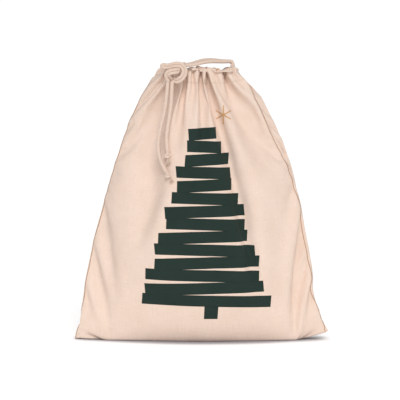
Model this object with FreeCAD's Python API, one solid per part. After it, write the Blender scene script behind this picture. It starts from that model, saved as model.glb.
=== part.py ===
import FreeCAD
import Part
import math
import os

V = FreeCAD.Vector

# A cotton drawstring gift pouch standing on its base, its mouth gathered on a cord.
# Frame: +Z up, X across the pouch, -Y towards the printed front, origin under the middle of the base.
# All sizes are millimetres.

# ---- driving dimensions -------------------------------------------------------------------------
CLOTH = 1.2              # panel wall, cloth and its stiffening by the fill
NECK_CLOTH = 2.5         # pleated cloth outside the cord tunnel
TUNNEL = 7.6             # room for the cord between the two layers of the hem
HEM_CLOTH = 2.0          # turned-down inner layer
HEM_FOLD = 3.0           # height of the folds that close the tunnel at the top and the bottom
NECK_Z = 385.0           # below this the wall is a plain panel
HEM_Z = 401.0            # the row of stitches that closes the tunnel from below
TOP_Z = 428.0            # gathered top edge
MOUTH_GAP = 0.3          # between the fixed front of the mouth and the moving back
SLIT = 13.0              # opening at the right side seam, where both cord ends come out
CORD = 5.5               # drawcord diameter
CHANNEL_CORD_IN = 3.0    # how far inside the tunnel its solid starts
CHANNEL_CORD_Z = 418.0
SEAM_ALLOWANCE = 9.0     # cloth turned in at the seams
SEAM_THICK = 1.8
SEAM_GAP = 0.05          # between a panel and the allowance on its inner face
BOTTOM_SEAM_IN = 14.0    # from the ear to the end of the bottom seam
STITCH_PITCH = 6.0
STITCH = 3.4
THREAD = 0.7
INK = 0.3                # printed layer
ROOM = 600.0             # wider and taller than the pouch, for the solids that cut it

# Height, half width and half depth of the filled pouch.
STATIONS = [
    (0.0, 197.0, 26.0),
    (30.0, 189.0, 40.0),
    (66.0, 182.5, 50.0),
    (120.0, 173.5, 59.0),
    (183.0, 161.0, 63.0),
    (237.0, 148.0, 61.0),
    (284.0, 133.0, 55.5),
    (331.0, 115.5, 47.5),
    (370.0, 97.0, 40.0),
    (400.0, 77.5, 34.0),
    (TOP_Z, 56.0, 31.0),
]

# Printed tree: bars stacked from the foot up, each wider than the one above and tilted by turns.
BARS = 14
TREE_FOOT_Z = 58.0
TREE_TOP_Z = 334.0
TREE_X = 5.0
BAR_HALF_LOW, BAR_HALF_HIGH = 98.0, 20.0
BAR_TALL = 16.5
BAR_TILT = 2.2           # degrees
TRUNK_WIDE, TRUNK_Z = 20.0, 38.0

# Printed star: thin rays about one point.
STAR_X, STAR_Z = 31.0, 352.0
STAR_RAY, STAR_LINE = 15.0, 1.6
STAR_RAYS = 6

# Drawcord. Both ends leave the right slit side by side, arch over the mouth to the knot and hang in front.
LOOP_RIGHT = V(46.0, 0.0, 435.0)
LOOP_LEFT = V(-25.0, -38.0, 431.0)
STRAND_APART = 6.3
EXIT_RISE = 22.0         # from inside the slit up to the loop
LOOP_GAP = 2.6           # between the end of the exit strands and the loop, which leans
# Along the line from LOOP_RIGHT to LOOP_LEFT, and above it.
LOOP_ROUTE = [(0, 0), (9, 0.6), (20, 4.0), (32, 6.4), (44, 6.8), (56, 4.6), (66, 1.2), (80.6, 0)]

KNOT = V(-39.0, -42.0, 418.0)
KNOT_SIZE = V(14.0, 8.5, 13.0)
END_KNOT_R = 5.0
TIP_R, TIP_LONG = 3.4, 12.0

# Each tail hangs from the knot down the front: x and z of its points, with y found from the front of the pouch.
TAIL_LEFT_ROUTE = [(-51.6, 406.8), (-53.4, 389.5), (-55.2, 370), (-59.0, 350), (-64.0, 331), (-67.6, 311),
                   (-66.6, 292), (-60.6, 275), (-53.4, 263)]
TAIL_RIGHT_ROUTE = [(-45.6, 403.5), (-46.5, 387), (-47.3, 370), (-49.8, 350), (-53.0, 331), (-55.0, 312),
                    (-52.6, 294)]
TAIL_CLEAR = 3.2         # between the front of the pouch and the back of a tail


# ---- the pouch's outline ------------------------------------------------------------------------
def lerp(z, column):
    """Half width (column 1) or half depth (column 2) at a height, straight between the stations."""
    for low, high in zip(STATIONS, STATIONS[1:]):
        if z <= high[0]:
            share = (z - low[0]) / (high[0] - low[0])
            return low[column] + share * (high[column] - low[column])
    return STATIONS[-1][column]


def front_y(x, z):
    """The front surface's y at a point of the front view."""
    wide, deep = lerp(z, 1), lerp(z, 2)
    return -deep * math.sqrt(max(0.0, 1 - (x / wide) ** 2))


def hull(inset, low=None, high=None):
    """The whole outline as one solid, taken in by inset all round, between two heights."""
    wires = []
    for z, wide, deep in STATIONS:
        ring = Part.Ellipse(V(0, 0, z), wide - inset, deep - inset)
        wires.append(Part.Wire([ring.toShape()]))
    solid = Part.makeLoft(wires, True, False, False)
    if low is not None:
        solid = solid.common(Part.makeBox(ROOM, ROOM, high - low, V(-ROOM / 2, -ROOM / 2, low)))
    return solid


def side_of(shape, side, gap=0.0):
    """The front (side -1) or back (side 1) part of a shape, half of a gap away from the middle."""
    y = gap / 2 if side > 0 else -ROOM - gap / 2
    return shape.common(Part.makeBox(2 * ROOM, ROOM, 2 * ROOM, V(-ROOM, y, -ROOM)))


def slit_cut(shape):
    """A neck part without the room of the slit at the right side seam."""
    inner_end, low, long = 30.0, NECK_Z + 4, 60.0
    return shape.cut(Part.makeBox(long, SLIT, long, V(inner_end, -SLIT / 2, low)))


# ---- tubes: straight runs joined by tangent arcs -------------------------------------------------
def route_wire(points, name):
    """Straight runs joined by arcs, each as large as its two runs allow. Prints the smallest radius."""
    edges = []
    start = points[0]
    radii = []
    for before, here, after in zip(points, points[1:], points[2:]):
        into = here - before
        out = after - here
        run = min(into.Length, out.Length)
        into.normalize()
        out.normalize()
        turn = into.getAngle(out)
        back = 0.45 * run
        radii.append(back / math.tan(turn / 2))
        a = here - into * back
        b = here + out * back
        bisector = out - into
        bisector.normalize()
        middle = here + bisector * (radii[-1] / math.cos(turn / 2) - radii[-1])
        edges.append(Part.LineSegment(start, a).toShape())
        edges.append(Part.Arc(a, middle, b).toShape())
        start = b
    edges.append(Part.LineSegment(start, points[-1]).toShape())
    print(f"{name}: smallest radius {min(radii):.1f} mm, {len(points)} points")
    return Part.Wire(edges)


def tube(points, name, diameter=CORD):
    """A round cord along a route, with its volume compared with its section times its length."""
    wire = route_wire(points, name)
    along = points[1] - points[0]
    circle = Part.Wire([Part.Circle(points[0], along, diameter / 2).toShape()])
    solid = wire.makePipeShell([circle], True, True)
    expected = math.pi * diameter ** 2 / 4 * wire.Length
    print(f"{name}: {wire.Length:.1f} mm long, volume {solid.Volume / expected:.4f} of section times length")
    return solid


# ---- cloth ---------------------------------------------------------------------------------------
def panels():
    """Front and back panels up to the neck, each turned under to the bottom seam."""
    shell = hull(0, 0, NECK_Z).cut(hull(CLOTH, CLOTH, NECK_Z))
    return {"front_panel": side_of(shell, -1), "back_panel": side_of(shell, 1)}


def neck():
    """The gathered neck: an outer layer with the top fold, and the hem turned down inside it."""
    low = NECK_Z + MOUTH_GAP
    tunnel_in = NECK_CLOTH + TUNNEL
    inside = tunnel_in + HEM_CLOTH
    fold_z = TOP_Z - HEM_FOLD
    foot_z = HEM_Z + HEM_FOLD
    layer = hull(0, low, TOP_Z).cut(hull(NECK_CLOTH, low, TOP_Z))
    fold = hull(NECK_CLOTH, fold_z, TOP_Z).cut(hull(inside, fold_z, TOP_Z))
    outer = slit_cut(layer.fuse(fold))
    sheet = hull(tunnel_in, HEM_Z, fold_z).cut(hull(inside, HEM_Z, fold_z))
    foot = hull(NECK_CLOTH, HEM_Z, foot_z).cut(hull(tunnel_in, HEM_Z, foot_z))
    hem = slit_cut(sheet.fuse(foot))
    return {
        "front_neck": side_of(outer, -1, MOUTH_GAP),
        "back_neck": side_of(outer, 1, MOUTH_GAP),
        "front_hem": side_of(hem, -1, MOUTH_GAP),
        "back_hem": side_of(hem, 1, MOUTH_GAP),
    }


def seams():
    """Cloth turned in at the side seams and the bottom seam."""
    inside = hull(CLOTH + SEAM_GAP)
    found = {}
    for side, name in ((-1, "left_seam_allowance"), (1, "right_seam_allowance")):
        stations = [station for station in STATIONS if station[0] < NECK_Z]
        heights = [CLOTH + SEAM_GAP] + [station[0] for station in stations[1:]] + [NECK_Z - 2]
        outer = [V(side * (lerp(z, 1) + SEAM_ALLOWANCE), -SEAM_THICK / 2, z) for z in heights]
        inner = [V(side * (lerp(z, 1) - CLOTH - SEAM_ALLOWANCE), -SEAM_THICK / 2, z) for z in reversed(heights)]
        face = Part.Face(Part.makePolygon(outer + inner + outer[:1]))
        found[name] = face.extrude(V(0, SEAM_THICK, 0)).common(inside)
    reach = STATIONS[0][1] - BOTTOM_SEAM_IN
    found["bottom_seam_allowance"] = Part.makeBox(2 * reach, SEAM_THICK, SEAM_ALLOWANCE,
                                                  V(-reach, -SEAM_THICK / 2, CLOTH + SEAM_GAP))
    return found


def stitch(middle, along, deep):
    """One stitch: a short bar lying along the seam."""
    bar = Part.makeBox(STITCH, deep, THREAD, V(-STITCH / 2, -deep / 2, -THREAD / 2))
    turn = FreeCAD.Rotation(V(1, 0, 0), along)
    bar.Placement = FreeCAD.Placement(middle, turn)
    return bar


def stitches():
    """Rows of thread: each seam's lockstitch, and the row that closes the cord tunnel."""
    found = {}
    through = SEAM_THICK + 0.8
    for side, name in ((-1, "left_seam_stitches"), (1, "right_seam_stitches")):
        bars = []
        z = 18.0
        while z < NECK_Z - 6:
            here = side * (lerp(z, 1) - CLOTH - SEAM_ALLOWANCE / 2)
            above = side * (lerp(z + 2, 1) - CLOTH - SEAM_ALLOWANCE / 2)
            bars.append(stitch(V(here, 0, z), V(above - here, 0, 2), through))
            z += STITCH_PITCH
        found[name] = bars
    reach = STATIONS[0][1] - BOTTOM_SEAM_IN - STITCH_PITCH
    count = int(2 * reach / STITCH_PITCH)
    found["bottom_seam_stitches"] = [
        stitch(V(-reach + (k + 0.5) * 2 * reach / count, 0, CLOTH + SEAM_ALLOWANCE / 2), V(1, 0, 0), through)
        for k in range(count)
    ]
    z = HEM_Z + 1.5
    wide, deep = lerp(z, 1), lerp(z, 2)
    for side, name in ((-1, "front_channel_stitches"), (1, "back_channel_stitches")):
        bars = []
        count = 26
        for k in range(count):
            angle = math.pi * (0.08 + 0.84 * (k + 0.5) / count)
            x, y = wide * math.cos(angle), side * deep * math.sin(angle)
            along = V(-wide * math.sin(angle), side * deep * math.cos(angle), 0)
            bars.append(stitch(V(x, y, z), along, 1.2))
        found[name] = bars
    return {name: Part.makeCompound(bars) for name, bars in found.items()}


# ---- print ---------------------------------------------------------------------------------------
def bar_prism(x, z, half_wide, tall, tilt):
    """A flat bar of the print, as a prism through the front of the pouch."""
    box = Part.makeBox(2 * half_wide, ROOM, tall, V(-half_wide, -ROOM - 5, -tall / 2))
    box.rotate(V(0, 0, 0), V(0, 1, 0), tilt)
    box.translate(V(x, 0, z))
    return box


def prints():
    """The ink on the front: a tree of stacked bars with a trunk, and a star of thin rays."""
    skin = hull(-INK, 1, NECK_Z - 1).cut(hull(0, 0, NECK_Z))
    tree = []
    step = (TREE_TOP_Z - TREE_FOOT_Z) / BARS
    for k in range(BARS):
        share = k / (BARS - 1)
        half_wide = BAR_HALF_LOW + (BAR_HALF_HIGH - BAR_HALF_LOW) * share
        tilt = BAR_TILT * (1 - 0.3 * share) * (1 if k % 2 else -1)
        prism = bar_prism(TREE_X, TREE_FOOT_Z + (k + 0.5) * step, half_wide, BAR_TALL, tilt)
        for other in tree:
            prism = prism.cut(other)
        tree.append(prism)
    tree.append(bar_prism(TREE_X, (TRUNK_Z + TREE_FOOT_Z) / 2, TRUNK_WIDE / 2, TREE_FOOT_Z - TRUNK_Z, 0)
                .cut(tree[0]))
    star = Part.makeCylinder(STAR_LINE, ROOM, V(STAR_X, -ROOM - 5, STAR_Z), V(0, 1, 0))
    for k in range(STAR_RAYS):
        ray = Part.makeBox(STAR_LINE, ROOM, STAR_RAY, V(-STAR_LINE / 2, -ROOM - 5, 0))
        ray.rotate(V(0, 0, 0), V(0, 1, 0), 360 * k / STAR_RAYS)
        ray.translate(V(STAR_X, 0, STAR_Z))
        star = star.fuse(ray)
    layers = [solid for prism in tree for solid in skin.common(prism).Solids]
    return {"printed_tree": Part.makeCompound(layers), "printed_star": skin.common(star)}


# ---- cord ----------------------------------------------------------------------------------------
def channel_route(side):
    """Points of the cord inside the tunnel, from the right slit round past the left end of the mouth."""
    z = CHANNEL_CORD_Z
    inset = NECK_CLOTH + TUNNEL / 2
    wide, deep = lerp(z, 1) - inset, lerp(z, 2) - inset
    count = 12
    first = math.asin((SLIT / 2 + CHANNEL_CORD_IN) / deep)
    last = math.pi + 0.12
    angles = [first + (last - first) * k / count for k in range(count + 1)]
    return [V(wide * math.cos(a), side * deep * math.sin(a), z) for a in angles]


def channel_cords():
    """The cord where the hem holds it."""
    front = tube(channel_route(-1), "cord_front_run")
    back = tube(channel_route(1), "cord_back_run")
    return {"cord_front_run": side_of(front, -1, MOUTH_GAP), "cord_back_run": side_of(back, 1, MOUTH_GAP)}


def loop_axes():
    """The line from the right end of the loop to its left end, and the directions across it and above it."""
    along = LOOP_LEFT - LOOP_RIGHT
    along.normalize()
    across = V(0, 0, 1).cross(along)
    across.normalize()
    return along, across, along.cross(across)


def loop_points(side):
    along, across, above = loop_axes()
    start = LOOP_RIGHT + across * (side * STRAND_APART / 2)
    return [start + along * s + above * h for s, h in LOOP_ROUTE]


def exit_points(side):
    """From inside the slit straight up, then over onto the loop's line."""
    along, across, _ = loop_axes()
    end = LOOP_RIGHT + across * (side * STRAND_APART / 2) - along * LOOP_GAP
    bend = end - along * 8
    bend.y = -side * STRAND_APART / 2
    return [bend + V(0, 0, -EXIT_RISE), bend + V(0.3, 0, -9), bend, end]


def cord_loop():
    return {
        "cord_exit_front": tube(exit_points(1), "cord_exit_front"),
        "cord_exit_back": tube(exit_points(-1), "cord_exit_back"),
        "cord_loop_front": tube(loop_points(1), "cord_loop_front"),
        "cord_loop_back": tube(loop_points(-1), "cord_loop_back"),
    }


def ball(middle, radii):
    """A rounded lump with its own radius along each axis."""
    matrix = FreeCAD.Matrix()
    matrix.scale(radii)
    solid = Part.makeSphere(1.0).transformGeometry(matrix)
    solid.translate(middle)
    return solid


def tail_points(route):
    """A tail's points: from behind the middle of the knot down onto the front of the pouch."""
    points = [V(x, front_y(x, z) - TAIL_CLEAR - CORD / 2, z) for x, z in route]
    points[0].y = KNOT.y + 1
    points[1].y = min(points[1].y, KNOT.y + 3)
    return points


def tail(side, route):
    """One hanging end of the cord, its end knot and the frayed tip below it."""
    points = tail_points(route)
    down = points[-1] - points[-2]
    down.normalize()
    middle = points[-1] + down * (END_KNOT_R + 0.2)
    lump = ball(middle, V(END_KNOT_R, END_KNOT_R * 0.8, END_KNOT_R))
    cord = tube(points, f"tail_{side}").cut(lump)
    top = middle + down * (END_KNOT_R - 1.5)
    tip = Part.makeCone(TIP_R * 0.55, TIP_R, TIP_LONG, top, down + V(0.15, 0, -0.8)).cut(lump)
    return {f"tail_{side}": cord, f"tail_{side}_knot": lump, f"tail_{side}_tip": tip}


def main():
    parts = {}
    parts.update(panels())
    parts.update(neck())
    parts.update(seams())
    parts.update(stitches())
    parts.update(prints())
    parts.update(channel_cords())
    parts.update(cord_loop())
    parts["drawcord_knot"] = ball(KNOT, KNOT_SIZE)
    parts.update(tail("left", TAIL_LEFT_ROUTE))
    parts.update(tail("right", TAIL_RIGHT_ROUTE))
    os.makedirs("parts", exist_ok=True)
    for name, shape in sorted(parts.items()):
        solids = shape.Solids
        bad = [s for s in solids if not s.isValid() or s.Volume <= 0]
        print(f"{name}: {len(solids)} solid(s), {shape.Volume:.1f} mm3" + (", INVALID" if bad else ""))
        shape.exportStep(f"parts/{name}.step")


main()
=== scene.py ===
import math

import bpy
import numpy as np
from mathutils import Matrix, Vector
from mathutils.bvhtree import BVHTree


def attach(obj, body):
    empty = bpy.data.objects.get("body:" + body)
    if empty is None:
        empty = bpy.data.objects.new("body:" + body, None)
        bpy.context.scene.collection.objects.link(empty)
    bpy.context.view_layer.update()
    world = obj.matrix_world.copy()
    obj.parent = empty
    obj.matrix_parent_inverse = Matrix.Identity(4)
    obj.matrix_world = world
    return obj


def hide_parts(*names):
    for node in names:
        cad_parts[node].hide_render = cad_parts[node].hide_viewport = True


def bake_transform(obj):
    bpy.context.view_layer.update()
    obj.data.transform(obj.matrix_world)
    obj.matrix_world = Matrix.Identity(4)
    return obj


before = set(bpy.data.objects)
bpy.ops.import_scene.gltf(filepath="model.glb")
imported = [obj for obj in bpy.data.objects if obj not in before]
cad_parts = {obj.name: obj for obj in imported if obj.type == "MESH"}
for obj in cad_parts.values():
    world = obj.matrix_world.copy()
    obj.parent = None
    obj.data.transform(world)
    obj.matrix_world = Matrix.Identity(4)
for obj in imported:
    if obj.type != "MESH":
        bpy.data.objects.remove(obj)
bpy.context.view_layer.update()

MM = 0.001

# ---- driving sizes (millimetres until MM is applied) ---------------------------------------------
WIDE, TALL = 400.0, 470.0        # each panel, flat, between its seams and up to the folded edge
CORD_V = 450.0                   # where the cord grips the cloth, up the flat panel
STITCH_V = 436.0                 # the row that closes the tunnel
CLOTH_THICK = 0.9
FLOOR_REACH = 28.0               # how much of each panel lies on the floor beside the bottom seam
CORD = 5.6

# The side seams as they stand, from the base corner to the mouth: x, y, z.
LEFT_SEAM = [(-199, 0, 2), (-194, 0, 18), (-188, 1, 34), (-187, 3, 56), (-184, 5, 84), (-178.5, 7, 114),
             (-168, 9, 162), (-152, 11, 219), (-137, 11, 271), (-125, 10, 307), (-113, 9, 340),
             (-102, 8, 365), (-88, 6, 390), (-79, 4, 405), (-70, 2, 416), (-60, 0, 427)]
RIGHT_SEAM = [(198, 0, 13), (190, 0, 25), (183, -1, 36), (179, -2, 54), (174, -3, 78), (173, -4, 104),
              (168, -6, 137), (161, -8, 172), (151, -11, 222), (139, -14, 260), (125, -17, 293),
              (111, -18, 320), (98, -18, 344), (85, -16, 370), (73, -12, 392), (62, -7, 410),
              (53, -3, 423), (47, -2, 431)]
# Up the right side the back panel rolls forward past the seam: height, how far past.
RIGHT_ROLL = [(228, 0), (262, 4), (292, 7), (319, 10), (342, 12.5), (372, 11.5), (392, 7), (406, 0)]

# Where the gathers dip inward along the cord, left to right: place, depth as a share, half width.
FRONT_DIPS = [(-58, 0.5, 3.5), (-42.5, 1.15, 4.2), (-24.5, 0.75, 3.0), (-14.5, 0.35, 2.4), (-2, 0.85, 3.2),
              (8, 1.0, 2.8), (20.5, 0.25, 3.5), (35, 1.0, 3.8), (49, 0.5, 3.5)]
BACK_DIPS = [(-58, 0.7, 3.5), (-44, 1.0, 3.5), (-30, 0.8, 3.0), (-16, 1.0, 3.6), (-3, 0.7, 3.0),
             (9, 1.0, 3.2), (23, 0.8, 3.6), (36, 1.0, 3.2), (49, 0.6, 3.2)]
DIP_INNER = 13.0                 # the deepest dip's distance from the middle of the mouth
PLUMP = 62.0                     # cloth further than this from the middle is eased back
NARROWED = 0.66                  # below the neck, the share left by the fine crumples that aren't modelled
GATHERED = 0.80                  # share of the cloth's width in these folds; the rest is in finer ones
CORD_Z = 415.5                   # height of the cord's row in the standing pouch
RIGHT_FLAT = 2.0                 # the flat edge that keeps the two panels together beside the right seam
SEAM_POINTS = 901                # points on each seam's fine line
# Where a panel has spare width below the neck: place across as a share, and how much more.
SPARE = [(0.22, 0.50), (0.83, 0.26)]
SPARE_SPREAD = 0.06

# The cloth settles on three grids, from coarse to fine: rows, columns, steps, sweeps in each step.
GRIDS = [(46, 41, 120, 6), (91, 81, 160, 5), (136, 121, 120, 5)]
PRESSURE = 0.0045                # push of the stuffing in one step, on a grid with 4 mm between its rows
UNEVEN = 0.9                     # how much the stuffing's push varies
HANG = 0.25                      # weight of the cloth as a share of the pressure
VALLEY_PUSH = 0.03
KEPT_SPEED = 0.93                # share of its movement that a point keeps from step to step
BENDING = 0.004
SHEAR = 0.35                     # stiffness along the diagonals
FLOOR_GAP = 0.6
PANEL_GAP = 0.7                  # each panel's least distance from the middle of the pouch


# ---- small helpers -------------------------------------------------------------------------------
def smooth(x, low, high):
    """0 below low, 1 above high, and an even bend between them."""
    t = np.clip((np.asarray(x, float) - low) / (high - low), 0, 1)
    return t * t * (3 - 2 * t)


def along(points, count):
    """count points evenly spaced on a smooth curve through the given ones."""
    p = np.asarray(points, float)
    before = np.vstack([2 * p[0] - p[1], p[:-1]])
    after = np.vstack([p[1:], 2 * p[-1] - p[-2]])
    slope = (after - before) / 2
    t = np.linspace(0, 1, 24, endpoint=False)[:, None]
    h00, h10 = 2 * t ** 3 - 3 * t ** 2 + 1, t ** 3 - 2 * t ** 2 + t
    h01, h11 = 3 * t ** 2 - 2 * t ** 3, t ** 3 - t ** 2
    spans = [h00 * p[k] + h10 * slope[k] + h01 * p[k + 1] + h11 * slope[k + 1] for k in range(len(p) - 1)]
    fine = np.vstack(spans + [p[-1:]])
    reach = np.concatenate([[0], np.cumsum(np.linalg.norm(np.diff(fine, axis=0), axis=1))])
    want = np.linspace(0, reach[-1], count)
    return np.stack([np.interp(want, reach, fine[:, k]) for k in range(p.shape[1])], axis=1), reach[-1]


def gathers(dips, side, first, last):
    """The pleated line in plan, from seam to seam, as long as the gathered share of the cloth's width."""
    middle, half = (first[0] + last[0]) / 2, (last[0] - first[0]) / 2 + 8

    def line(depth):
        def outer(x):
            return DIP_INNER + depth * math.sqrt(max(0.04, 1 - ((x - middle) / half) ** 2))
        points = [first[:2]]
        for k, (x, share, wide) in enumerate(dips):
            reach = outer(x)
            points.append((x - wide, side * outer(x - wide) * 0.97))
            points.append((x, side * (reach - share * (reach - DIP_INNER))))
            points.append((x + wide, side * outer(x + wide) * 0.97))
            if k + 1 < len(dips):
                between = (x + dips[k + 1][0]) / 2
                points.append((between, side * (outer(between) + 1.0)))
        points.append(last[:2])
        return points

    low, high = 4.0, 60.0
    for _ in range(30):
        depth = (low + high) / 2
        if along(line(depth), 10)[1] < WIDE * GATHERED:
            low = depth
        else:
            high = depth
    return along(line(depth), 1601)[0]


# ---- cloth simulation ----------------------------------------------------------------------------
class Pouch:
    """Both panels as grids of points: panel (0 front, 1 back), up the panel, across it."""

    def __init__(self):
        self.left, _ = along(LEFT_SEAM, SEAM_POINTS)
        self.right, _ = along(RIGHT_SEAM, SEAM_POINTS)
        k = int((SEAM_POINTS - 1) * CORD_V / TALL)
        ends = (self.left[k], self.right[k])
        self.lines = [gathers(FRONT_DIPS, -1, *ends), gathers(BACK_DIPS, 1, *ends)]

    def seam(self, curve, rows):
        """A seam's places at the grid's rows."""
        at = np.linspace(0, SEAM_POINTS - 1, rows)
        return np.stack([np.interp(at, np.arange(SEAM_POINTS), curve[:, k]) for k in range(3)], axis=1)

    def base(self, cols):
        """The bottom seam on the floor, from ear to ear; the right ear curls up a little."""
        t = np.linspace(0, 1, cols)
        x = self.left[0, 0] + (self.right[0, 0] - self.left[0, 0]) * t
        z = 0.8 + 1.2 * (1 - smooth(t, 0, 0.04)) + 12.2 * smooth(t, 0.88, 1.0)
        y = 2.0 * np.sin(9 * t) * np.sin(math.pi * t)
        return np.stack([x, y, z], axis=1)

    def start(self, rows, cols):
        """A first shape: a plump lens low down that closes into the gathers at the cord."""
        left, right = self.seam(self.left, rows), self.seam(self.right, rows)
        v = np.linspace(0, TALL, rows)[:, None]
        u = np.linspace(0, 1, cols)[None, :]
        both = []
        for panel, side in ((0, -1), (1, 1)):
            line = self.lines[panel]
            at = u[0] * (len(line) - 1)
            gx = np.interp(at, np.arange(len(line)), line[:, 0])
            gy = np.interp(at, np.arange(len(line)), line[:, 1])
            share = (gx - gx[0]) / (gx[-1] - gx[0])
            grip = smooth(v, 170, CORD_V) ** 1.3
            mix = grip * share[None, :] + (1 - grip) * u
            x = left[:, :1] * (1 - mix) + right[:, :1] * mix
            y = left[:, 1:2] * (1 - mix) + right[:, 1:2] * mix
            z = left[:, 2:] * (1 - mix) + right[:, 2:] * mix
            bulge = np.sqrt(np.clip(1 - (2 * mix - 1) ** 2, 0, 1))
            deep = 52 * smooth(v, -60, 90) * (1 - 0.62 * smooth(v, 170, TALL))
            y = y + side * deep * bulge * (1 - grip) + grip * (gy[None, :] - y)
            both.append(np.stack([x, y, z + 0 * x], axis=2))
        return np.array(both)

    def pins(self, rows, cols):
        """Which points are held and where: the seams, the row on the cord, and the strip on the floor."""
        hold = np.zeros((2, rows, cols), bool)
        place = np.zeros((2, rows, cols, 3))
        row = int(round(CORD_V / TALL * (rows - 1)))
        for panel in (0, 1):
            line = self.lines[panel]
            at = np.linspace(0, len(line) - 1, cols)
            gx = np.interp(at, np.arange(len(line)), line[:, 0])
            gy = np.interp(at, np.arange(len(line)), line[:, 1])
            share = np.linspace(0, 1, cols)
            z = CORD_Z + 1.5 * np.sin(7 * share + panel) - 3.0 * (1 - share) ** 2
            place[panel, row] = np.stack([gx, gy, z], axis=1)
            hold[panel, row] = True
            place[panel, :, 0] = self.seam(self.left, rows)
            right = self.seam(self.right, rows)
            place[panel, :, -1] = right
            hold[panel, :, 0] = True
            hold[panel, :, -1] = True
            beside = np.array((-RIGHT_FLAT, (-RIGHT_FLAT, RIGHT_FLAT)[panel], 0))
            place[panel, row:, -2] = right[row:] + beside
            hold[panel, row:, -2] = True
            if panel == 1:
                past = np.interp(right[:, 2], *np.array(RIGHT_ROLL, float).T)
                column = cols - 1 - int(round(24 / WIDE * (cols - 1)))
                place[1, :, column] = right + np.stack([past, 6 + 0.3 * past, 0 * past], axis=1)
                hold[1, :, column] |= past > 2
            base = self.base(cols)
            lies = np.sin(math.pi * share) ** 0.5 * (-1, 1)[panel]
            step = TALL / (rows - 1)
            for k in range(int(FLOOR_REACH / step) + 1):
                place[panel, k] = base + np.stack([0 * share, lies * k * step, 0 * share], axis=1)
                hold[panel, k] |= (np.abs(lies) > 0.6) | (k == 0)
        return hold, place


def refine(p, rows, cols):
    """The same surface on a finer grid."""
    old_rows, old_cols = p.shape[1:3]
    up = np.linspace(0, old_rows - 1, rows)
    low = np.minimum(up.astype(int), old_rows - 2)
    f = (up - low)[None, :, None, None]
    p = p[:, low] * (1 - f) + p[:, low + 1] * f
    side = np.linspace(0, old_cols - 1, cols)
    low = np.minimum(side.astype(int), old_cols - 2)
    f = (side - low)[None, None, :, None]
    return p[:, :, low] * (1 - f) + p[:, :, low + 1] * f


def pull(p, weight, a, b, rest, stiff=1.0):
    """Moves each pair of points to its cloth length."""
    pa, pb = p[a], p[b]
    wa, wb = weight[a], weight[b]
    d = pb - pa
    length = np.sqrt((d * d).sum(-1, keepdims=True))
    push = d * (stiff * (length - rest) / np.maximum(length * (wa + wb), 1e-9))
    p[a] += push * wa
    p[b] -= push * wb


def normals(p):
    """The grids' unit normals, toward -Y on a panel whose columns run to +X."""
    du = np.gradient(p, axis=2)
    dv = np.gradient(p, axis=1)
    n = np.cross(du, dv)
    return n / np.maximum(np.linalg.norm(n, axis=-1, keepdims=True), 1e-9)


# Soft valleys that the cloth hangs in: a line of (x, z) points, half width, depth of the push.
VALLEYS = [
    ([(-64, 400), (-69, 367), (-77, 328), (-81, 297), (-76, 240)], 8.0, 1.0),
    ([(42, 396), (60, 372), (72, 345), (78, 310)], 9.0, 0.8),
    ([(-40, 408), (-42, 388), (-47, 366)], 4.5, 1.6),
    ([(-24, 412), (-26, 396)], 3.5, 0.9),
    ([(-3, 408), (-13, 384), (-18, 370)], 4.0, 1.0),
    ([(8, 408), (11, 382), (17, 360)], 4.0, 1.1),
    ([(106, 211), (126, 160)], 9.0, 0.3),
    ([(168, 62), (178, 30)], 8.0, 0.5),
]


def valley_push(x, z):
    """How strongly the valleys pull the front cloth in at x, z."""
    total = np.zeros_like(x)
    for line, wide, deep in VALLEYS:
        p = np.array(line, float)
        near = np.full(x.shape, 1e9)
        for a, b in zip(p[:-1], p[1:]):
            d = b - a
            t = np.clip(((x - a[0]) * d[0] + (z - a[1]) * d[1]) / (d @ d), 0, 1)
            near = np.minimum(near, np.hypot(x - a[0] - t * d[0], z - a[1] - t * d[1]))
        total += deep * np.exp(-(near / wide) ** 2 / 2)
    return total


def lumps(x, z, side):
    """Soft unevenness of the stuffing, between about -1 and 1."""
    total = 0
    for k in range(7):
        angle = 2.4 * k + 0.4
        wave = 2 * math.pi / (46 + 13 * k)
        total = total + np.sin(wave * (x * math.cos(angle) + z * math.sin(angle)) + 1.7 * k + 2.0 * side)
    return total / 3


def cloth_links(rows, cols):
    """Pairs of points with their cloth length and stiffness, in sets in which no point comes twice."""
    tall = TALL / (rows - 1)
    height = np.linspace(0, TALL, rows)
    share = 1 - (1 - NARROWED) * smooth(height, 130, 370)
    share = share + (GATHERED - NARROWED) * smooth(height, 395, CORD_V)
    across = (np.arange(cols - 1) + 0.5) / (cols - 1)
    spare = sum(more * np.exp(-((across - place) / SPARE_SPREAD) ** 2) for place, more in SPARE)
    spare = 1 + spare[None, :] * (smooth(height, 150, 300) * (1 - smooth(height, 380, 430)))[:, None]
    wide = (WIDE / (cols - 1) * share)[:, None] * spare
    wide = np.broadcast_to(wide[None, :, :, None], (2, rows, cols - 1, 1))
    slant = np.sqrt(wide[:, 1:] ** 2 + tall ** 2)
    every = slice(None)
    links = []
    for k in (0, 1):
        n = (cols - 1 - k) // 2 * 2 + k
        low, high = slice(k, n, 2), slice(k + 1, n + 1, 2)
        links.append(((every, every, low), (every, every, high), wide[:, :, low], 1.0))
        n = (rows - 1 - k) // 2 * 2 + k
        low, high = slice(k, n, 2), slice(k + 1, n + 1, 2)
        links.append(((every, low, every), (every, high, every), tall, 1.0))
        links.append(((every, low, slice(0, -1)), (every, high, slice(1, None)), slant[:, low], SHEAR))
        links.append(((every, low, slice(1, None)), (every, high, slice(0, -1)), slant[:, low], SHEAR))
    return links


def curvature(p):
    """Each point's distance from the middle of its neighbours, which is left out along the edges."""
    bent = np.zeros_like(p)
    bent[:, 1:-1] += p[:, 2:] + p[:, :-2] - 2 * p[:, 1:-1]
    bent[:, :, 1:-1] += p[:, :, 2:] + p[:, :, :-2] - 2 * p[:, :, 1:-1]
    return bent


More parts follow.
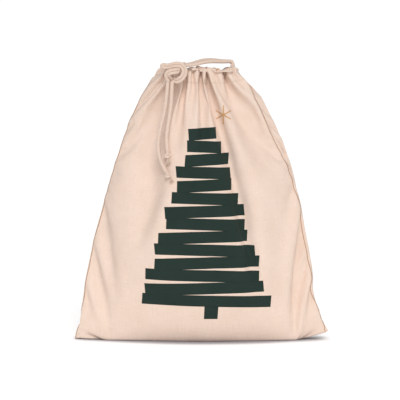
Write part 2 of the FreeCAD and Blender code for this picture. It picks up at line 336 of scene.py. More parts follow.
def simulate(pouch, p, rows, cols, steps, sweeps):
    """Position-based cloth: stretch and shear held, light bending, stuffing pressure, floor."""
    hold, place = pouch.pins(rows, cols)
    weight = np.where(hold, 0.0, 1.0)[..., None]
    p = np.where(hold[..., None], place, p)
    last = p.copy()
    links = cloth_links(rows, cols)
    v = np.linspace(0, TALL, rows)[None, :, None]
    fill = (1 - smooth(v, 330, 430)) * (0.25 + 0.75 * smooth(v, 30, 190))
    out = np.array([1.0, -1.0])[:, None, None, None]
    scale = TALL / (rows - 1) / 4.0
    for _ in range(steps):
        n = normals(p) * out
        uneven = 1 + UNEVEN * lumps(p[..., 0], p[..., 2], out[..., 0])
        force = n * (PRESSURE * fill * scale * uneven)[..., None]
        push = valley_push(p[0, ..., 0], p[0, ..., 2]) * smooth(-p[0, ..., 1], 2, 16)
        force[0] -= n[0] * (VALLEY_PUSH * scale * push)[..., None]
        force[..., 2] -= HANG * PRESSURE * scale
        move = (p - last) * KEPT_SPEED
        last = p.copy()
        p = p + (move + force) * weight
        for _ in range(sweeps):
            for a, b, rest, stiff in links:
                pull(p, weight, a, b, rest, stiff)
            p -= BENDING * curvature(curvature(p)) * weight
        edge = p[0, :, :1, 1]
        middle = edge + (p[0, :, -1:, 1] - edge) * np.linspace(0, 1, cols)[None]
        p[0, ..., 1] = np.where(hold[0], p[0, ..., 1], np.minimum(p[0, ..., 1], middle - PANEL_GAP))
        p[1, ..., 1] = np.where(hold[1], p[1, ..., 1], np.maximum(p[1, ..., 1], middle + PANEL_GAP))
        over = np.maximum(np.abs(p[..., 1]) - PLUMP, 0) * ~hold
        p[..., 1] -= np.sign(p[..., 1]) * over * 0.3
        low = (p[..., 2] < FLOOR_GAP) & ~hold
        p[..., 2] = np.where(low, FLOOR_GAP, p[..., 2])
        p[..., :2] = np.where(low[..., None], last[..., :2] * 0.5 + p[..., :2] * 0.5, p[..., :2])
    return p


def settle(pouch):
    """The cloth at rest, found on the coarse grid and then on each finer one."""
    p = pouch.start(*GRIDS[0][:2])
    for k, (rows, cols, steps, sweeps) in enumerate(GRIDS):
        if k:
            p = refine(p, rows, cols)
        p = simulate(pouch, p, rows, cols, steps, sweeps)
    return p


# ---- building meshes -----------------------------------------------------------------------------
def grid_mesh(name, points, uv=None, flip=False):
    """A surface object from a grid of points in millimetres, with flat cloth coordinates as its UVs."""
    rows, cols = points.shape[:2]
    mesh = bpy.data.meshes.new(name)
    index = np.arange(rows * cols).reshape(rows, cols)
    corners = [index[:-1, :-1], index[:-1, 1:], index[1:, 1:], index[1:, :-1]]
    quads = np.stack(corners, axis=-1).reshape(-1, 4)
    if flip:
        quads = quads[:, ::-1]
    mesh.from_pydata((points.reshape(-1, 3) * MM).tolist(), [], quads.tolist())
    if uv is not None:
        layer = mesh.uv_layers.new(name="cloth")
        flat = uv.reshape(-1, 2)[quads.reshape(-1)]
        layer.data.foreach_set("uv", flat.reshape(-1).astype(np.float32))
    mesh.polygons.foreach_set("use_smooth", [True] * len(mesh.polygons))
    obj = bpy.data.objects.new(name, mesh)
    bpy.context.scene.collection.objects.link(obj)
    return obj


def with_hem(points, side):
    """The panel's grid with its top fold and the hem turned down inside it, and its flat coordinates."""
    rows, cols = points.shape[:2]
    v = np.linspace(0, TALL, rows)
    u = np.linspace(0, WIDE, cols)
    stitch = int(round(STITCH_V / TALL * (rows - 1)))
    inner, heights = [], []
    count = rows - 1 - stitch
    for k in range(1, count + 1):
        t = k / count
        outer = points[rows - 1 - k]
        belly = math.sin(math.pi * t) ** 0.6
        line = outer.copy()
        line[:, 1] = outer[:, 1] * 0.22 + side * 2.2
        row = outer * (1 - belly) + line * belly
        row[:, 1] -= side * 1.1
        inner.append(row)
        heights.append(TALL + (v[1] - v[0]) * k)
    full = np.concatenate([points, np.array(inner)])
    flat_v = np.concatenate([v, heights])
    uv = np.stack(np.broadcast_arrays(u[None, :] * MM, flat_v[:, None] * MM), axis=-1)
    return full, uv


def thick(obj, thickness):
    """Smooths the object's faces once and gives them a thickness, both applied to its mesh."""
    smoother = obj.modifiers.new("smooth", "SUBSURF")
    smoother.levels = 1
    smoother.render_levels = 1
    solid = obj.modifiers.new("thickness", "SOLIDIFY")
    solid.thickness = thickness * MM
    solid.offset = 0.0
    solid.use_even_offset = False
    bpy.context.view_layer.update()
    graph = bpy.context.evaluated_depsgraph_get()
    mesh = bpy.data.meshes.new_from_object(obj.evaluated_get(graph))
    obj.modifiers.clear()
    obj.data = mesh
    return obj


# ---- materials -----------------------------------------------------------------------------------
def new_material(name):
    """A material with its nodes, links and main shader."""
    material = bpy.data.materials.new(name)
    material.use_nodes = True
    nodes = material.node_tree.nodes
    return material, nodes, material.node_tree.links, nodes["Principled BSDF"]


class Wires:
    """Short calls for the nodes that the cloth and cord materials share."""

    def __init__(self, nodes, links):
        self.nodes, self.links = nodes, links

    def put(self, socket, value):
        if hasattr(value, "is_output"):
            self.links.new(value, socket)
        else:
            socket.default_value = value

    def math(self, kind, a, b=0.0, c=0.0):
        node = self.nodes.new("ShaderNodeMath")
        node.operation = kind
        for socket, value in zip(node.inputs, (a, b, c)):
            self.put(socket, value)
        return node.outputs[0]

    def noise(self, vector, scale, detail=2.0, rough=0.5):
        node = self.nodes.new("ShaderNodeTexNoise")
        self.put(node.inputs["Vector"], vector)
        node.inputs["Scale"].default_value = scale
        node.inputs["Detail"].default_value = detail
        node.inputs["Roughness"].default_value = rough
        return node.outputs["Fac"]

    def stretch(self, vector, scale):
        node = self.nodes.new("ShaderNodeMapping")
        self.put(node.inputs["Vector"], vector)
        node.inputs["Scale"].default_value = scale
        return node.outputs[0]

    def map(self, value, low, high, out_low, out_high):
        node = self.nodes.new("ShaderNodeMapRange")
        self.put(node.inputs["Value"], value)
        ends = {"From Min": low, "From Max": high, "To Min": out_low, "To Max": out_high}
        for name, number in ends.items():
            node.inputs[name].default_value = number
        return node.outputs[0]

    def mix(self, share, a, b, kind="MIX"):
        node = self.nodes.new("ShaderNodeMix")
        node.data_type = "RGBA"
        node.blend_type = kind
        self.put(node.inputs[0], share)
        self.put(node.inputs[6], a)
        self.put(node.inputs[7], b)
        return node.outputs[2]


def woven(name, color, tint, pitch=0.62, bump=0.10, ink=False):
    """Plain-weave cotton: warp and weft from the cloth's coordinates, slubs, seed flecks, soft mottling, and
    painted shade in the gaps between threads.
    """
    material, nodes, links, shader = new_material(name)
    w = Wires(nodes, links)
    uv = nodes.new("ShaderNodeUVMap")
    uv.uv_map = "cloth"
    split = nodes.new("ShaderNodeSeparateXYZ")
    links.new(uv.outputs[0], split.inputs[0])
    turn = math.pi / (pitch * MM)
    drift = w.map(w.noise(uv.outputs[0], 60.0), 0.3, 0.7, -0.00012, 0.00012)
    su = w.math("SINE", w.math("MULTIPLY", w.math("ADD", split.outputs[0], drift), turn))
    sv = w.math("SINE", w.math("MULTIPLY", w.math("ADD", split.outputs[1], drift), turn))
    over = w.math("MULTIPLY", w.math("MULTIPLY", su, sv), 3.0)
    over = w.map(over, -1, 1, 0, 1)
    warp = w.math("MULTIPLY", w.math("ABSOLUTE", su), over)
    weft = w.math("MULTIPLY", w.math("ABSOLUTE", sv), w.math("SUBTRACT", 1.0, over))
    weave = w.math("MAXIMUM", warp, weft)
    slub_u = w.noise(w.stretch(uv.outputs[0], (1500, 45, 1)), 1.0, 1.0)
    slub_v = w.noise(w.stretch(uv.outputs[0], (45, 1500, 1)), 1.0, 1.0)
    slub = w.math("ADD", slub_u, slub_v)
    height = w.math("ADD", weave, w.math("MULTIPLY", slub, 0.55))
    node = nodes.new("ShaderNodeBump")
    node.inputs["Distance"].default_value = bump * MM
    node.inputs["Strength"].default_value = 0.75
    links.new(height, node.inputs["Height"])
    links.new(node.outputs[0], shader.inputs["Normal"])
    mottle = w.map(w.noise(uv.outputs[0], 22.0, 4.0, 0.6), 0.3, 0.7, 0.0, 1.0)
    base = w.mix(mottle, (*color, 1), (*tint, 1))
    threads = w.map(slub, 0.7, 1.3, 0.94, 1.05)
    # painted shade: the weave's low places, the gaps between threads, are darkened; the slubs' lighter and
    # darker tone is the yarn's own
    painted_gap_shade = w.map(weave, 0.0, 0.45, 0.86, 1.0)
    slub_tone_and_gap_shade = w.math("MULTIPLY", threads, painted_gap_shade)
    grey = nodes.new("ShaderNodeCombineColor")
    for socket in grey.inputs[:3]:
        links.new(slub_tone_and_gap_shade, socket)
    base = w.mix(1.0, base, grey.outputs[0], "MULTIPLY")
    if not ink:
        fleck = w.map(w.noise(w.stretch(uv.outputs[0], (900, 620, 1)), 1.0, 0.0), 0.80, 0.84, 0.0, 0.55)
        base = w.mix(fleck, base, (0.30, 0.19, 0.10, 1))
    links.new(base, shader.inputs["Base Color"])
    links.new(w.map(slub, 0.6, 1.4, 0.80, 0.95), shader.inputs["Roughness"])
    shader.inputs["Sheen Weight"].default_value = 0.05 if ink else 0.12
    shader.inputs["Sheen Roughness"].default_value = 0.45
    shader.inputs["Specular IOR Level"].default_value = 0.2
    return material


def spun(name, color, tint, twist=1500.0):
    """Soft cotton yarn: fine fibres that run round and along the cord."""
    material, nodes, links, shader = new_material(name)
    w = Wires(nodes, links)
    uv = nodes.new("ShaderNodeUVMap")
    uv.uv_map = "cloth"
    fibre = w.noise(w.stretch(uv.outputs[0], (260, 2600, 1)), 1.0, 3.0, 0.6)
    clump = w.noise(uv.outputs[0], twist, 2.0)
    height = w.math("ADD", fibre, w.math("MULTIPLY", clump, 0.6))
    node = nodes.new("ShaderNodeBump")
    node.inputs["Distance"].default_value = 0.14 * MM
    node.inputs["Strength"].default_value = 0.8
    links.new(height, node.inputs["Height"])
    links.new(node.outputs[0], shader.inputs["Normal"])
    base = w.mix(w.map(fibre, 0.35, 0.65, 0.0, 1.0), (*tint, 1), (*color, 1))
    links.new(base, shader.inputs["Base Color"])
    links.new(w.map(clump, 0.3, 0.7, 0.82, 0.95), shader.inputs["Roughness"])
    shader.inputs["Sheen Weight"].default_value = 0.3
    shader.inputs["Sheen Roughness"].default_value = 0.5
    shader.inputs["Specular IOR Level"].default_value = 0.2
    return material


# ---- points on the finished cloth ----------------------------------------------------------------
class Surface:
    """Places on a panel by flat coordinates, and the front of the cloth seen straight on."""

    def __init__(self, shape):
        self.shape = shape
        self.out = np.stack([normals(shape)[0], -normals(shape)[1]])
        self.rows, self.cols = shape.shape[1:3]

    def at(self, panel, u, v, proud=0.0):
        """Position in millimetres at flat coordinates u, v, this far outside the cloth."""
        i = np.clip(np.asarray(v, float) / TALL * (self.rows - 1), 0, self.rows - 1.001)
        j = np.clip(np.asarray(u, float) / WIDE * (self.cols - 1), 0, self.cols - 1.001)
        i, j = np.broadcast_arrays(i, j)
        a, b = i.astype(int), j.astype(int)
        f, g = (i - a)[..., None], (j - b)[..., None]

        def read(grid):
            low = grid[a, b] * (1 - g) + grid[a, b + 1] * g
            high = grid[a + 1, b] * (1 - g) + grid[a + 1, b + 1] * g
            return low * (1 - f) + high * f

        n = read(self.out[panel])
        n /= np.maximum(np.linalg.norm(n, axis=-1, keepdims=True), 1e-9)
        return read(self.shape[panel]) + n * proud, n


def tree_of(obj):
    """A search tree of an object's faces, for finding the cloth in front of a point."""
    places = [v.co for v in obj.data.vertices]
    return BVHTree.FromPolygons(places, [tuple(f.vertices) for f in obj.data.polygons])


def front_of(tree, x, z):
    """The front surface at x, z in millimetres: its place and outward normal."""
    place, normal, _, _ = tree.ray_cast(Vector((x * MM, -0.5, z * MM)), Vector((0, 1, 0)))
    if place is None:
        return None, None
    if normal.y > 0:
        normal = -normal
    return np.array(place) / MM, np.array(normal)


# ---- tubes, cords and stitches -------------------------------------------------------------------
def read_spline(points):
    """Points along the NURBS spline that has these control points, in millimetres."""
    data = bpy.data.curves.new("route", "CURVE")
    data.dimensions = "3D"
    spline = data.splines.new("NURBS")
    spline.points.add(len(points) - 1)
    for point, place in zip(spline.points, points):
        point.co = (*[c * MM for c in place], 1)
    spline.order_u = 3
    spline.use_endpoint_u = True
    spline.resolution_u = 24
    obj = bpy.data.objects.new("route", data)
    mesh = bpy.data.meshes.new_from_object(obj)
    found = np.array([v.co for v in mesh.vertices]) / MM
    bpy.data.objects.remove(obj)
    bpy.data.curves.remove(data)
    bpy.data.meshes.remove(mesh)
    return found


def even(points, step):
    """The same line with points this far apart."""
    reach = np.concatenate([[0], np.cumsum(np.linalg.norm(np.diff(points, axis=0), axis=1))])
    want = np.linspace(0, reach[-1], max(3, int(reach[-1] / step) + 1))
    return np.stack([np.interp(want, reach, points[:, k]) for k in range(3)], axis=1)


def frames(line):
    """Two directions across a line at each of its points, turning as little as possible."""
    tangent = np.gradient(line, axis=0)
    tangent /= np.linalg.norm(tangent, axis=1, keepdims=True)
    side = np.cross(tangent[0], (0.3, 1.0, 0.2))
    sides = []
    for t in tangent:
        side = side - t * (side @ t)
        side = side / np.linalg.norm(side)
        sides.append(side)
    sides = np.array(sides)
    return tangent, sides, np.cross(tangent, sides)


def sweep(line, radius, around=20, plaits=0, pitch=9.0, deep=0.10, phase=0.0, ends=True):
    """Vertices, faces and UVs of a tube along a line; plaits is the number of yarns each way."""
    tangent, side, up = frames(line)
    count = len(line)
    reach = np.concatenate([[0], np.cumsum(np.linalg.norm(np.diff(line, axis=0), axis=1))])
    angle = np.linspace(0, 2 * math.pi, around, endpoint=False)
    radii = np.broadcast_to(np.asarray(radius, float).reshape(-1, 1), (count, 1)) * np.ones((count, around))
    if plaits:
        turn = 2 * math.pi * reach[:, None] / pitch
        one = np.abs(np.cos(plaits / 2 * angle[None, :] + turn + phase))
        other = np.abs(np.cos(plaits / 2 * angle[None, :] - turn + phase))
        radii = radii * (1 - deep + deep * 1.3 * np.maximum(one, other) ** 1.4)
    ring = np.cos(angle)[None, :, None] * side[:, None] + np.sin(angle)[None, :, None] * up[:, None]
    verts = (line[:, None] + ring * radii[..., None]).reshape(-1, 3)
    faces, uvs = [], []
    around_long = 2 * math.pi * float(np.mean(radii))
    for i in range(count - 1):
        for j in range(around):
            k = (j + 1) % around
            faces.append((i * around + j, i * around + k, (i + 1) * around + k, (i + 1) * around + j))
            a, b = reach[i] * MM, reach[i + 1] * MM
            c, d = j / around * around_long * MM, (j + 1) / around * around_long * MM
            uvs.append(((a, c), (a, d), (b, d), (b, c)))
    if ends:
        for first, order, sign in ((0, -1, -1), ((count - 1) * around, 1, 1)):
            end = 0 if sign < 0 else -1
            tip = line[end] + tangent[end] * sign * float(np.mean(radii[0])) * 0.3
            verts = np.vstack([verts, tip])
            for j in range(around):
                pair = (first + j, first + (j + 1) % around)
                faces.append((*pair[::order], len(verts) - 1))
                uvs.append(((0, 0), (0.001, 0), (0, 0.001)))
    return verts, faces, uvs


def tube_object(name, tubes, material):
    """One object from several swept tubes."""
    verts, faces, uvs = [], [], []
    for v, f, t in tubes:
        start = len(verts)
        verts.extend((np.asarray(v) * MM).tolist())
        faces.extend(tuple(start + k for k in face) for face in f)
        uvs.extend(t)
    mesh = bpy.data.meshes.new(name)
    mesh.from_pydata(verts, [], faces)
    layer = mesh.uv_layers.new(name="cloth")
    layer.data.foreach_set("uv", np.array([c for face in uvs for c in face], np.float32).reshape(-1))
    mesh.polygons.foreach_set("use_smooth", [True] * len(mesh.polygons))
    mesh.materials.append(material)
    obj = bpy.data.objects.new(name, mesh)
    bpy.context.scene.collection.objects.link(obj)
    return obj


def stitch(a, b, out, radius=0.38):
    """One stitch of thread from a to b: it dives into the cloth at both ends."""
    t = np.linspace(0, 1, 6)[:, None]
    line = a * (1 - t) + b * t + out * (np.sin(math.pi * t) * 0.55 - 0.35)
    return sweep(line, radius * (0.75 + 0.25 * np.sin(math.pi * t[:, 0])), around=6)


# ---- camera, light, floor ------------------------------------------------------------------------
FRAME_WIDE = 0.625               # what the picture is wide, at the pouch
VIEW_FAR = 2.6
VIEW_UP = 4.0                    # degrees above level
VIEW_AT = Vector((-0.003, 0.0, 0.2185))
SENSOR = 36                      # mm
KEY_FROM = Vector((0.06, -0.79, 0.61))
KEY_POWER = 1.78
KEY_SPREAD = 28                  # degrees
AMBIENT = 0.40                   # the world's light on the pouch
BACKDROP = 1.05                  # the world as it is seen
FLOOR_GLOW = 0.32


def camera():
    data = bpy.data.cameras.new("camera")
    data.sensor_width = SENSOR
    data.lens = SENSOR * VIEW_FAR / FRAME_WIDE
    obj = bpy.data.objects.new("camera", data)
    bpy.context.scene.collection.objects.link(obj)
    tilt = math.radians(VIEW_UP)
    obj.location = VIEW_AT + VIEW_FAR * Vector((0, -math.cos(tilt), math.sin(tilt)))
    obj.rotation_euler = (math.pi / 2 - tilt, 0, 0)
    bpy.context.scene.camera = obj


def white_floor_painted_shadow():
    """Bright white paper with a painted contact shadow: close to what stands on it, its colour goes dark grey
    and its glow fades.
    """
    material, nodes, links, shader = new_material("white_floor_painted_shadow")
    w = Wires(nodes, links)
    near = nodes.new("ShaderNodeAmbientOcclusion")
    near.inputs["Distance"].default_value = 0.042
    near.samples = 16
    # painted contact shadow: where the floor is hemmed in, its colour mixes to dark grey and its glow drops
    clear_of_painted_shadow = w.map(near.outputs["AO"], 0.5, 0.93, 0.0, 1.0)
    links.new(w.mix(clear_of_painted_shadow, (0.42, 0.41, 0.44, 1), (0.97, 0.97, 0.97, 1)), shader.inputs["Base Color"])
    shader.inputs["Roughness"].default_value = 1.0
    shader.inputs["Specular IOR Level"].default_value = 0.0
    shader.inputs["Emission Color"].default_value = (1, 1, 1, 1)
    links.new(w.math("MULTIPLY", clear_of_painted_shadow, FLOOR_GLOW), shader.inputs["Emission Strength"])
    return material


def studio():
    """White surroundings, one broad key light from the front, and the floor."""
    world = bpy.data.worlds.new("studio")
    bpy.context.scene.world = world
    world.use_nodes = True
    nodes, links = world.node_tree.nodes, world.node_tree.links
    back = nodes["Background"]
    back.inputs["Color"].default_value = (1, 1, 1, 1)
    seen = nodes.new("ShaderNodeLightPath")
    level = nodes.new("ShaderNodeMapRange")
    level.inputs["To Min"].default_value = AMBIENT
    level.inputs["To Max"].default_value = BACKDROP
    links.new(seen.outputs["Is Camera Ray"], level.inputs["Value"])
    links.new(level.outputs[0], back.inputs["Strength"])
    sun = bpy.data.lights.new("key", "SUN")
    sun.energy = KEY_POWER
    sun.angle = math.radians(KEY_SPREAD)
    key = bpy.data.objects.new("key", sun)
    bpy.context.scene.collection.objects.link(key)
    key.rotation_euler = KEY_FROM.to_track_quat("Z", "Y").to_euler()
    bpy.context.scene.view_settings.view_transform = "Standard"
    bpy.ops.mesh.primitive_plane_add(size=12)
    floor = bpy.context.object
    floor.name = "floor"
    floor.data.materials.append(white_floor_painted_shadow())


def cloth_blend(obj):
    """Bakes the object's placement into its mesh."""
    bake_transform(obj)


# ---- the print -----------------------------------------------------------------------------------
BARS = 14
TREE_LOW, TREE_HIGH, TREE_X = 57.0, 333.0, 4.0
TRUNK_LOW = 38.0
STAR_X, STAR_Z = 33.0, 352.0
INK_THICK = 0.12


def patch(tree, corners, across, up, proud):
    """Ink laid on the front cloth over a four-sided shape, given in front view (x, z)."""
    (ax, az), (bx, bz), (cx, cz), (dx, dz) = corners
    verts, uvs = [], []
    for i in range(up + 1):
        f = i / up
        for j in range(across + 1):
            g = j / across
            x = (ax * (1 - g) + bx * g) * (1 - f) + (dx * (1 - g) + cx * g) * f
            z = (az * (1 - g) + bz * g) * (1 - f) + (dz * (1 - g) + cz * g) * f
            place, normal = front_of(tree, x, z)
            verts.append(place + normal * proud)
            uvs.append((x * MM, z * MM))
    faces = []
    for i in range(up):
        for j in range(across):
            k = i * (across + 1) + j
            faces.append((k, k + 1, k + across + 2, k + across + 1))
    return verts, faces, [tuple(uvs[k] for k in face) for face in faces]


def print_object(name, patches, material):
    """One object of ink from several patches."""
    obj = tube_object(name, patches, material)
    solid = obj.modifiers.new("ink", "SOLIDIFY")
    solid.thickness = INK_THICK * MM
    solid.offset = -1.0
    return obj


def printed_tree(tree):
    """Stacked bars, each a little wider than the one above, that lean by turns so that neighbours meet."""
    step = (TREE_HIGH - TREE_LOW) / BARS
    patches = []
    for k in range(BARS):
        share = k / (BARS - 1)
        reach = 99 - 78 * share
        left = TREE_X - reach + 4.5 * math.sin(2.3 * k + 0.6)
        right = TREE_X + reach + 4.0 * math.sin(1.7 * k + 2.0)
        middle = TREE_LOW + (k + 0.5) * step
        half = 0.45 * step
        lean = (1 if k % 2 else -1) * (1.5 + 1.3 * (1 - share) + 0.5 * math.sin(3.1 * k))
        slant = 0.8 * math.sin(4.1 * k + 1.0)
        corners = [(left - slant, middle - half - lean), (right - slant, middle - half + lean),
                   (right + slant, middle + half + lean * 0.8), (left + slant, middle + half - lean * 0.8)]
        across = max(8, int((right - left) / 1.6))
        patches.append(patch(tree, corners, across, 12, 0.20 + 0.05 * (k % 2)))
    top = TREE_LOW + 5
    trunk = [(TREE_X - 1, TRUNK_LOW), (TREE_X + 20, TRUNK_LOW), (TREE_X + 21.5, top), (TREE_X, top)]
    patches.append(patch(tree, trunk, 14, 16, 0.18))
    return patches


def printed_star(tree):
    """Thin straight rays about one point, evenly turned."""
    patches = []
    for k in range(6):
        angle = math.radians(90 + 60 * k)
        d = np.array([math.cos(angle), math.sin(angle)])
        n = np.array([-d[1], d[0]])
        long = 14.5 if k % 3 == 0 else 13.0
        at = np.array([STAR_X, STAR_Z])
        corners = [at - d - n * 0.95, at + d * long - n * 0.75, at + d * long + n * 0.75, at - d + n * 0.95]
        patches.append(patch(tree, [tuple(c) for c in corners], 12, 2, 0.2 + 0.03 * k))
    return patches


# ---- the drawcord --------------------------------------------------------------------------------
LOOP_RIGHT = np.array((42.5, 0.0, 434.5))
LOOP_LEFT = np.array((-25.0, -38.0, 428.0))
STRAND_APART = 6.3               # between the middles of the loop's two strands
LOOP_SAG = 1.4                   # the two strands' difference from the route, one up and one down
LOOP_ROUTE = [(0, 0), (9, 0.6), (20, 2.0), (32, 3.6), (44, 3.8), (56, 2.2), (66, 0.2), (80.6, 0)]
KNOT = np.array((-39.0, -42.0, 418.0))
TUNNEL_IN = 9.0                  # the hidden cords' distance from the middle of the mouth
CLOTH_CLEAR = 0.8                # between a hanging end and the cloth
TAIL_LEFT_ROUTE = [(-51.6, -41.0, 406.8), (-53.4, -40.5, 389.5), (-55.2, -40.5, 370), (-59.0, -41.0, 350),
                   (-64.0, -42.0, 331), (-67.6, -43.5, 311), (-66.6, -45.5, 292), (-60.6, -48.0, 275),
                   (-53.4, -50.0, 263)]
TAIL_RIGHT_ROUTE = [(-45.6, -41.0, 403.5), (-46.5, -40.5, 387), (-47.3, -40.5, 370), (-49.8, -41.5, 350),
                    (-53.0, -43.0, 331), (-55.0, -45.0, 312), (-52.6, -47.5, 294)]


def cord_tube(line, radius=CORD / 2, **more):
    """A braided cord along a line."""
    return sweep(even(line, 0.9), radius, around=24, plaits=6, pitch=8.0, deep=0.13, **more)


def loop_route(side):
    """One strand over the mouth: LOOP_ROUTE gives the way along it and the height above its chord."""
    toward = LOOP_LEFT - LOOP_RIGHT
    toward = toward / np.linalg.norm(toward)
    across = np.cross((0, 0, 1), toward)
    across /= np.linalg.norm(across)
    above = np.cross(toward, across)
    start = LOOP_RIGHT + across * side * STRAND_APART / 2
    sag = [LOOP_SAG * side * math.sin(math.pi * s / LOOP_ROUTE[-1][0]) for s, _ in LOOP_ROUTE]
    return [start + toward * s + above * (h - low) for (s, h), low in zip(LOOP_ROUTE, sag)]


def exit_route(side):
    """Out of the slit at the right side seam and up to the loop."""
    top = loop_route(side)[0]
    return [(51, -side * 3.0, 412), (50, -side * 3.1, 420), (48.5, top[1] * 0.7, 428),
            (47, top[1] * 0.9, 433), (top[0] + 1.5, top[1] + 0.6, 434.7), tuple(top)]


def knot_strand(side):
    """One of the knot's two strands: round the back, over the top, down the right, through to the front."""
    route = [(14, 4, 10), (7, 6.5, 8.4), (-3, 7.5, 6.5), (-12, 6.5, 6.5), (-19, 3.5, 7.5), (-23, -0.5, 9),
             (-20, -4, 9), (-13, -5, 7.5), (-5, -5.5, 10), (2.5, -5.5, 11.5), (10, -5, 8.5), (13, -5, 1.5),
             (11.5, -4.5, -5), (7, -3, -11), (0.5, 0, -14), (-5.5, 3, -11.5), (-6, 4, -5.5), (-1, 3.5, -0.5),
             (4, 0.5, 1.5), (3.5, -4.5, 2), (-3, -9, 1), (-10, -9.5, -0.2), (-14.3, -7.5, -3.2),
             (-14, -3.5, -7.5), (-9.6, 0.8, -12.2)]
    line = even(read_spline([KNOT + np.array(p) for p in route]), 1.0)
    tangent = np.gradient(line, axis=0)
    tangent /= np.linalg.norm(tangent, axis=1, keepdims=True)
    flat = np.cross(tangent, (0, 1, 0))
    flat /= np.maximum(np.linalg.norm(flat, axis=1, keepdims=True), 1e-6)
    for _ in range(12):
        flat[1:-1] = (flat[:-2] + 2 * flat[1:-1] + flat[2:]) / 4
    t = np.linspace(0, 1, len(line))[:, None]
    apart = 2.25 + 0.75 * smooth(t, 0.92, 1.0) + 0.6 * (1 - smooth(t, 0.0, 0.06))
    return line + flat * side * apart + np.array((0, 1, 0)) * side * 0.5


def tail_route(tree, points):
    """A tail's points: it hangs free below the knot, and never behind the front of the cloth."""
    found = []
    for x, y, z in points:
        place, _ = front_of(tree, x, z)
        found.append(np.array((x, min(y, place[1] - CORD / 2 - CLOTH_CLEAR), z)))
    return found


def end_knot(middle, down, size=5.3):
    """A tight little overhand knot."""
    t = np.linspace(0, 2 * math.pi, 90)
    x = np.sin(t) + 2 * np.sin(2 * t)
    y = np.cos(t) - 2 * np.cos(2 * t)
    z = -np.sin(3 * t) * 1.3
    axis = Vector(down).to_track_quat("Y", "Z").to_matrix()
    line = np.stack([x, y * 0.95, z], axis=1) * size * 0.30
    return np.array([np.array(axis @ Vector(p)) for p in line]) + middle


GOLDEN_ANGLE = 2.39996


def frayed(top, down, long=13.0, fibres=34):
    """Loose cotton yarns that spread from under the end knot."""
    random = np.random.default_rng(7)
    tubes = []
    side = np.cross(down, (0, 1, 0))
    side /= np.linalg.norm(side)
    front = np.cross(side, down)
    for k in range(fibres):
        angle = k * GOLDEN_ANGLE
        out = math.sqrt((k + 0.5) / fibres)
        away = (side * math.cos(angle) + front * math.sin(angle) * 0.7) * out
        reach = long * random.uniform(0.75, 1.08)
        t = np.linspace(0, 1, 7)[:, None]
        wave = np.sin(t * 5 + k) * 0.35
        line = top + away * 1.6 + down * t * reach + away * (t ** 1.3) * 3.4 + side * wave
        tubes.append(sweep(line, 0.6 * (1 - 0.5 * t[:, 0]), around=5))
    return tubes


def build_loop(side, name, material):
    """One strand over the mouth, and its part that comes up from the slit."""
    line = read_spline(loop_route(side))
    obj = tube_object(f"loop_strand_{name}", [cord_tube(line)], material)
    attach(obj, "cord_loop")
    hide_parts(f"cord_loop_{name}")
    out = tube_object(f"exit_strand_{name}", [cord_tube(read_spline(exit_route(side)))], material)
    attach(out, "front_mouth")
    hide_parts(f"cord_exit_{name}")


def build_tail(tree, side, points, material):
    """A hanging end with its end knot and frayed tip."""
    line = read_spline(tail_route(tree, points))
    down = line[-1] - line[-4]
    down /= np.linalg.norm(down)
    obj = tube_object(f"hanging_tail_{side}", [cord_tube(line)], material)
    middle = line[-1] + down * 3.5
    turns = sweep(end_knot(middle, down), 2.2, around=14, plaits=6, ends=False)
    lump = tube_object(f"end_knot_{side}", [turns], material)
    tip = tube_object(f"frayed_tip_{side}", frayed(middle + down * 2.5, down), material)
    for piece, node in ((obj, "tail_" + side), (lump, f"tail_{side}_knot"), (tip, f"tail_{side}_tip")):
        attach(piece, f"{side}_tail")
        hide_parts(node)


def build_cords(tree, material):
    for side, name in ((1, "front"), (-1, "back")):
        build_loop(side, name, material)
    knot = tube_object("overhand_knot", [cord_tube(knot_strand(s), 2.45, phase=s) for s in (-1, 1)], material)
    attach(knot, "knot")
    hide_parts("drawcord_knot")
    for side, points in (("left", TAIL_LEFT_ROUTE), ("right", TAIL_RIGHT_ROUTE)):
        build_tail(tree, side, points, material)


def tunnel_cord(surface, panel, side, material):
    """The cord inside the hem, between the outer gathers and the inner layer."""
    u = np.linspace(8, WIDE - 8, 60)
    outer, _ = surface.at(panel, u, CORD_V)
    x = np.linspace(outer[0, 0], outer[-1, 0], 60)
    line = np.stack([x, side * (TUNNEL_IN + 0 * u), outer[:, 2].mean() + 0 * u], axis=1)
    line[:4, 1] *= np.array([0.6, 0.8, 0.92, 0.98])
    line[-4:, 1] *= np.array([0.98, 0.92, 0.8, 0.6])
    name = "front" if side < 0 else "back"
    obj = tube_object(f"tunnel_cord_{name}", [cord_tube(line, 2.5)], material)
    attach(obj, f"{name}_mouth")
    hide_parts(f"cord_{name}_run")


# ---- thread --------------------------------------------------------------------------------------
CHANNEL_PITCH, CHANNEL_LONG = 3.3, 2.5
SEAM_PITCH, SEAM_LONG = 3.6, 3.1
ROW_START = 6                    # from a panel's edge to a row's first stitch
SEAM_ROW = {"left": 1.6, "right": WIDE - 4.5}


def channel_stitches(surface, panel):
    """The lockstitch row that closes the tunnel."""
    tubes = []
    for k in range(int((WIDE - 2 * ROW_START) / CHANNEL_PITCH)):
        u = ROW_START + k * CHANNEL_PITCH
        a, out = surface.at(panel, u, STITCH_V, CLOTH_THICK / 2)
        b, _ = surface.at(panel, u + CHANNEL_LONG, STITCH_V, CLOTH_THICK / 2)
        tubes.append(stitch(a, b, out))
    return tubes


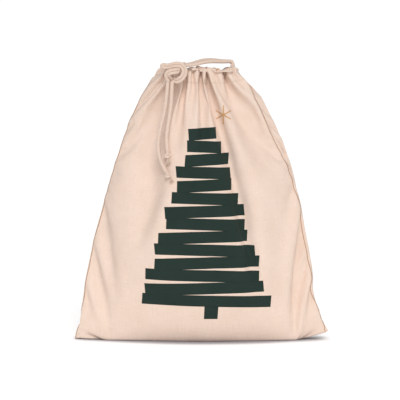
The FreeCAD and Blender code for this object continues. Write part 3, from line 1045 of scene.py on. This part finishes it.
def side_stitches(surface, side):
    """The row of thread that shows on the front cloth, close beside a side seam; it is coloured dark tan as
    painted shade of the seam's crease.
    """
    tubes = []
    u = SEAM_ROW[side]
    for k in range(int((TALL - 30) / SEAM_PITCH)):
        v = ROW_START + k * SEAM_PITCH
        a, out = surface.at(0, u, v, CLOTH_THICK)
        b, _ = surface.at(0, u, v + SEAM_LONG, CLOTH_THICK)
        tubes.append(stitch(a, b, out, 0.5))
    return tubes


# ---- the whole pouch -----------------------------------------------------------------------------
def build():
    camera()
    studio()
    shape = settle(Pouch())
    surface = Surface(shape)
    canvas = woven("cotton_canvas", (0.84, 0.670, 0.570), (0.81, 0.632, 0.522))
    ink = woven("dark_green_ink", (0.015, 0.030, 0.024), (0.019, 0.035, 0.029), ink=True, bump=0.06)
    gold = woven("gold_ink", (0.60, 0.34, 0.15), (0.68, 0.40, 0.19), ink=True, bump=0.06)
    cord = spun("cotton_cord", (0.80, 0.64, 0.54), (0.66, 0.50, 0.40))
    thread = spun("sewing_thread", (0.72, 0.55, 0.44), (0.60, 0.44, 0.34))
    # sewing thread of the side seams, coloured dark tan as painted shade of the seams' crease
    crease_shade_thread = spun("seam_thread_painted_crease_shade", (0.46, 0.25, 0.12), (0.36, 0.19, 0.09))
    panels = []
    for panel, side, name in ((0, -1, "front_cloth"), (1, 1, "back_cloth")):
        full, uv = with_hem(shape[panel], side)
        obj = thick(grid_mesh(name, full, uv, flip=side > 0), CLOTH_THICK)
        obj.data.materials.append(canvas)
        panels.append(obj)
    tree = tree_of(panels[0])
    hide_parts("front_panel", "front_neck", "front_hem", "left_seam_allowance",
                "right_seam_allowance", "bottom_seam_allowance", "bottom_seam_stitches")
    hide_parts("back_panel", "back_neck", "back_hem")
    green = print_object("tree_print", printed_tree(tree), ink)
    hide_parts("printed_tree")
    star = print_object("star_print", printed_star(tree), gold)
    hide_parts("printed_star")
    build_cords(tree, cord)
    rows = []
    for panel, side, name in ((0, -1, "front"), (1, 1, "back")):
        tunnel_cord(surface, panel, side, cord)
        row = tube_object(f"{name}_channel_thread", channel_stitches(surface, panel), thread)
        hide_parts(f"{name}_channel_stitches")
        rows.append(row)
    left = tube_object("left_seam_thread", side_stitches(surface, "left"), crease_shade_thread)
    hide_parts("left_seam_stitches")
    right = tube_object("right_seam_thread", side_stitches(surface, "right"), crease_shade_thread)
    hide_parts("right_seam_stitches")
    for obj in (panels[0], green, star, rows[0], left, right):
        cloth_blend(obj)
    for obj in (panels[1], rows[1]):
        cloth_blend(obj)


build()
